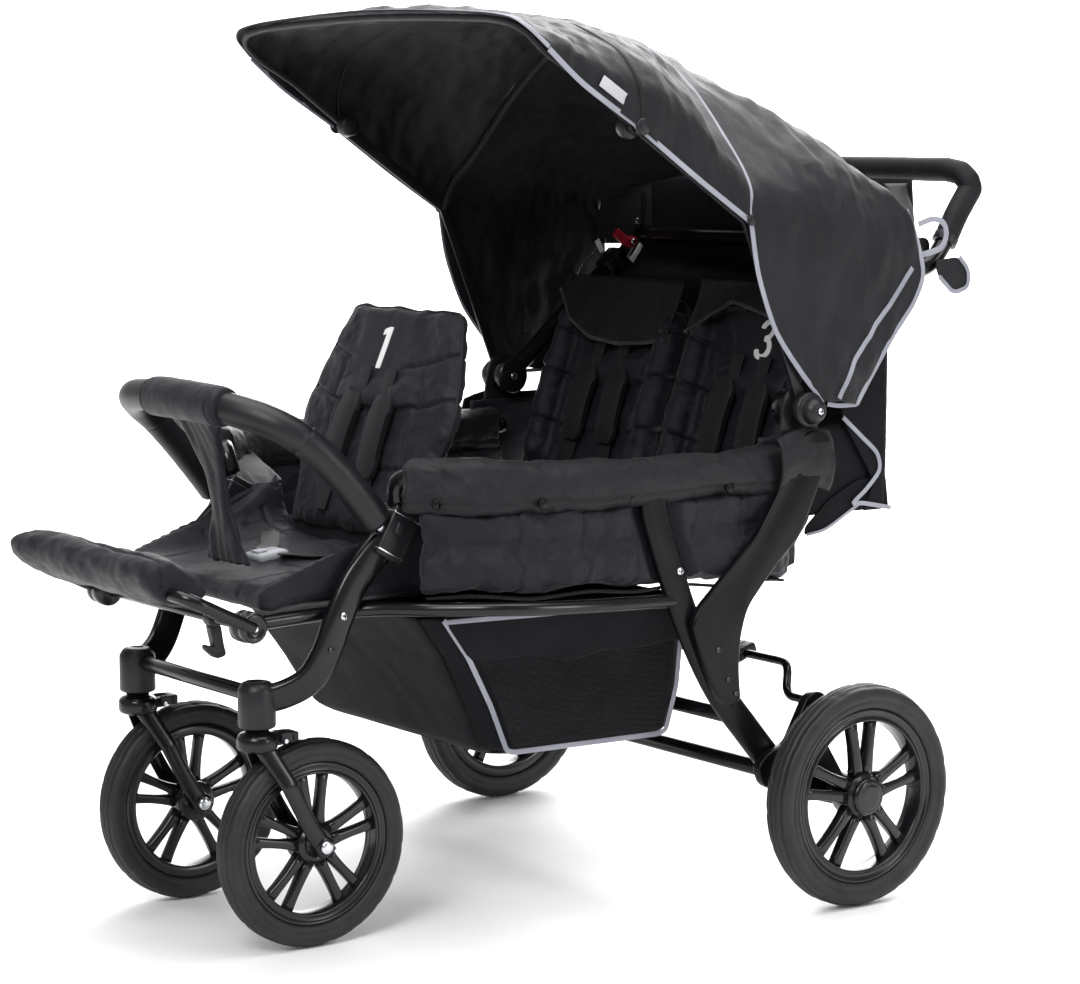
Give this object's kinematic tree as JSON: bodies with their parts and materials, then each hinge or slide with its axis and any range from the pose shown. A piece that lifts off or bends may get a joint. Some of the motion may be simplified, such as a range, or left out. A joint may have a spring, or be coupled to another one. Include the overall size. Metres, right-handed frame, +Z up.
{
  "type": "multi seat daycare stroller",
  "caption": "Long daycare stroller with one front seat, two rear seats side by side, a large hood, a padded grab bar, a leg rest and a mesh basket.",
  "frame": {"origin": "middle of the bounding box, on the floor that the wheels stand on", "axes": "+Z up, -Y the way the stroller travels, +X its left side"},
  "size_m": [0.8748, 1.242, 1.195],
  "materials": {
    "gloss_black_steel": "gloss powder coat",
    "black_plastic": "satin",
    "gloss_black_plastic": "gloss",
    "tyre_black": "matt with grooves",
    "foam_black": "soft foam",
    "navy_black_fabric": "woven, quilted",
    "lining_fabric": "woven, thin",
    "steel_core": "polished",
    "red_plastic": "gloss"
  },
  "bodies": {
    "chassis": {"front_leg_left": "gloss_black_steel", "front_leg_right": "gloss_black_steel", "grab_socket_left": "black_plastic", "grab_socket_right": "black_plastic", "caster_housing_left": "black_plastic", "caster_housing_right": "black_plastic", "front_cross_tube": "gloss_black_steel", "side_rail_left": "gloss_black_steel", "side_rail_right": "gloss_black_steel", "seat_tube_frame": "gloss_black_steel", "rear_cross_tube_upper": "gloss_black_steel", "rear_cross_tube_lower": "gloss_black_steel", "hinge_bracket_left": "black_plastic", "hinge_bracket_right": "black_plastic", "side_strut_left": "gloss_black_steel", "side_strut_right": "gloss_black_steel", "rear_leg_left": "gloss_black_steel", "rear_leg_right": "gloss_black_steel", "side_fabric_left": "navy_black_fabric", "side_fabric_right": "navy_black_fabric", "seat1_base": "navy_black_fabric", "rear_bench": "navy_black_fabric", "basket": "lining_fabric", "harness_buckle": "black_plastic", "crotch_cover": "navy_black_fabric", "rear_curtain": "navy_black_fabric"},
    "handle": {"handle_tube": "gloss_black_steel", "handle_foam": "foam_black", "latch_clamp": "black_plastic"},
    "latch": {"latch_lever": "red_plastic"},
    "hood": {"hood_frame": "gloss_black_steel", "hood_panel": "navy_black_fabric", "hood_rear_panel": "navy_black_fabric"},
    "visor": {"visor_bow": "gloss_black_steel", "visor_canopy": "navy_black_fabric"},
    "back1": {"seat1_back": "navy_black_fabric"},
    "back2": {"seat2_back": "navy_black_fabric"},
    "back3": {"seat3_back": "navy_black_fabric"},
    "legrest": {"legrest_frame": "gloss_black_steel", "legrest_pad": "navy_black_fabric"},
    "legrest_release": {"legrest_lever": "black_plastic"},
    "grab_bar": {"grab_bar_core": "steel_core", "grab_bar_foam": "foam_black"},
    "brake": {"brake_bar": "gloss_black_steel", "brake_pedal": "black_plastic"},
    "buckle_release": {"buckle_button": "black_plastic"},
    "grab_button_left": {"grab_release_left": "black_plastic"},
    "caster_left": {"caster_fork_left": "gloss_black_steel"},
    "swivel_lock_left": {"caster_lock_left": "black_plastic"},
    "front_wheel_left": {"front_tyre_left": "tyre_black", "front_rim_left": "gloss_black_plastic"},
    "rear_wheel_left": {"rear_tyre_left": "tyre_black", "rear_rim_left": "gloss_black_plastic"},
    "grab_button_right": {"grab_release_right": "black_plastic"},
    "caster_right": {"caster_fork_right": "gloss_black_steel"},
    "swivel_lock_right": {"caster_lock_right": "black_plastic"},
    "front_wheel_right": {"front_tyre_right": "tyre_black", "front_rim_right": "gloss_black_plastic"},
    "rear_wheel_right": {"rear_tyre_right": "tyre_black", "rear_rim_right": "gloss_black_plastic"}
  },
  "joints": [
    {"name": "handle_fold", "type": "hinge", "parent": "chassis", "child": "handle", "pos_m": [0, 0.28284, 0.665], "axis": [1, 0, 0], "range_deg": [0, 45], "deforming": ["hood_rear_panel", "rear_curtain"]},
    {"name": "fold_latch", "type": "hinge", "parent": "handle", "child": "latch", "pos_m": [-0.3, 0.49584, 0.862], "axis": [1, 0, 0], "range_deg": [-25, 0], "stiffness_Nm_per_rad": 0.4},
    {"name": "hood_fold", "type": "hinge", "parent": "chassis", "child": "hood", "pos_m": [0, 0.28284, 0.665], "axis": [1, 0, 0], "range_deg": [-45, 0], "deforming": ["hood_rear_panel", "rear_curtain"]},
    {"name": "visor_fold", "type": "hinge", "parent": "hood", "child": "visor", "pos_m": [0, 0.00184, 1.038], "axis": [1, 0, 0], "range_deg": [-32, 0], "deforming": ["visor_canopy"]},
    {"name": "seat1_recline", "type": "hinge", "parent": "chassis", "child": "back1", "pos_m": [0, -0.21616, 0.501], "axis": [1, 0, 0], "range_deg": [-16, 0]},
    {"name": "seat2_recline", "type": "hinge", "parent": "chassis", "child": "back2", "pos_m": [-0.158, 0.30584, 0.501], "axis": [1, 0, 0], "range_deg": [-12, 0]},
    {"name": "seat3_recline", "type": "hinge", "parent": "chassis", "child": "back3", "pos_m": [0.158, 0.30584, 0.501], "axis": [1, 0, 0], "range_deg": [-12, 0]},
    {"name": "legrest_tilt", "type": "hinge", "parent": "chassis", "child": "legrest", "pos_m": [0, -0.47816, 0.426], "axis": [1, 0, 0], "range_deg": [0, 75]},
    {"name": "legrest_release_pull", "type": "hinge", "parent": "chassis", "child": "legrest_release", "pos_m": [0.1, -0.47816, 0.426], "axis": [1, 0, 0], "range_deg": [-20, 20], "stiffness_Nm_per_rad": 0.1},
    {"name": "grab_bar_pull", "type": "slide", "parent": "chassis", "child": "grab_bar", "axis": [0, -0.644, 0.765], "range_m": [0, 0.07], "deforming": ["crotch_cover"]},
    {"name": "grab_button_left_press", "type": "slide", "parent": "chassis", "child": "grab_button_left", "axis": [-1, 0, 0], "range_m": [0, 0.0025], "stiffness_N_per_m": 150},
    {"name": "grab_button_right_press", "type": "slide", "parent": "chassis", "child": "grab_button_right", "axis": [1, 0, 0], "range_m": [0, 0.0025], "stiffness_N_per_m": 150},
    {"name": "caster_left_swivel", "type": "hinge", "parent": "chassis", "child": "caster_left", "pos_m": [0.154, -0.44816, 0.28], "axis": [0, 0, 1], "continuous": true},
    {"name": "front_wheel_left_spin", "type": "hinge", "parent": "caster_left", "child": "front_wheel_left", "pos_m": [0.154, -0.37016, 0.134], "axis": [1, 0, 0], "continuous": true},
    {"name": "swivel_lock_left_lift", "type": "hinge", "parent": "caster_left", "child": "swivel_lock_left", "pos_m": [0.154, -0.41616, 0.273], "axis": [1, 0, 0], "range_deg": [0, 20]},
    {"name": "rear_wheel_left_spin", "type": "hinge", "parent": "chassis", "child": "rear_wheel_left", "pos_m": [0.4116, 0.32984, 0.15], "axis": [1, 0, 0], "continuous": true},
    {"name": "caster_right_swivel", "type": "hinge", "parent": "chassis", "child": "caster_right", "pos_m": [-0.154, -0.44816, 0.28], "axis": [0, 0, 1], "continuous": true},
    {"name": "front_wheel_right_spin", "type": "hinge", "parent": "caster_right", "child": "front_wheel_right", "pos_m": [-0.154, -0.37016, 0.134], "axis": [1, 0, 0], "continuous": true},
    {"name": "swivel_lock_right_lift", "type": "hinge", "parent": "caster_right", "child": "swivel_lock_right", "pos_m": [-0.154, -0.41616, 0.273], "axis": [1, 0, 0], "range_deg": [0, 20]},
    {"name": "rear_wheel_right_spin", "type": "hinge", "parent": "chassis", "child": "rear_wheel_right", "pos_m": [-0.4116, 0.32984, 0.15], "axis": [1, 0, 0], "continuous": true},
    {"name": "brake_press", "type": "hinge", "parent": "chassis", "child": "brake", "pos_m": [0, 0.29484, 0.272], "axis": [1, 0, 0], "range_deg": [-20, 0]},
    {"name": "buckle_press", "type": "slide", "parent": "chassis", "child": "buckle_release", "axis": [0, 0.1045, -0.9945], "range_m": [0, 0.002], "stiffness_N_per_m": 120}
  ]
}
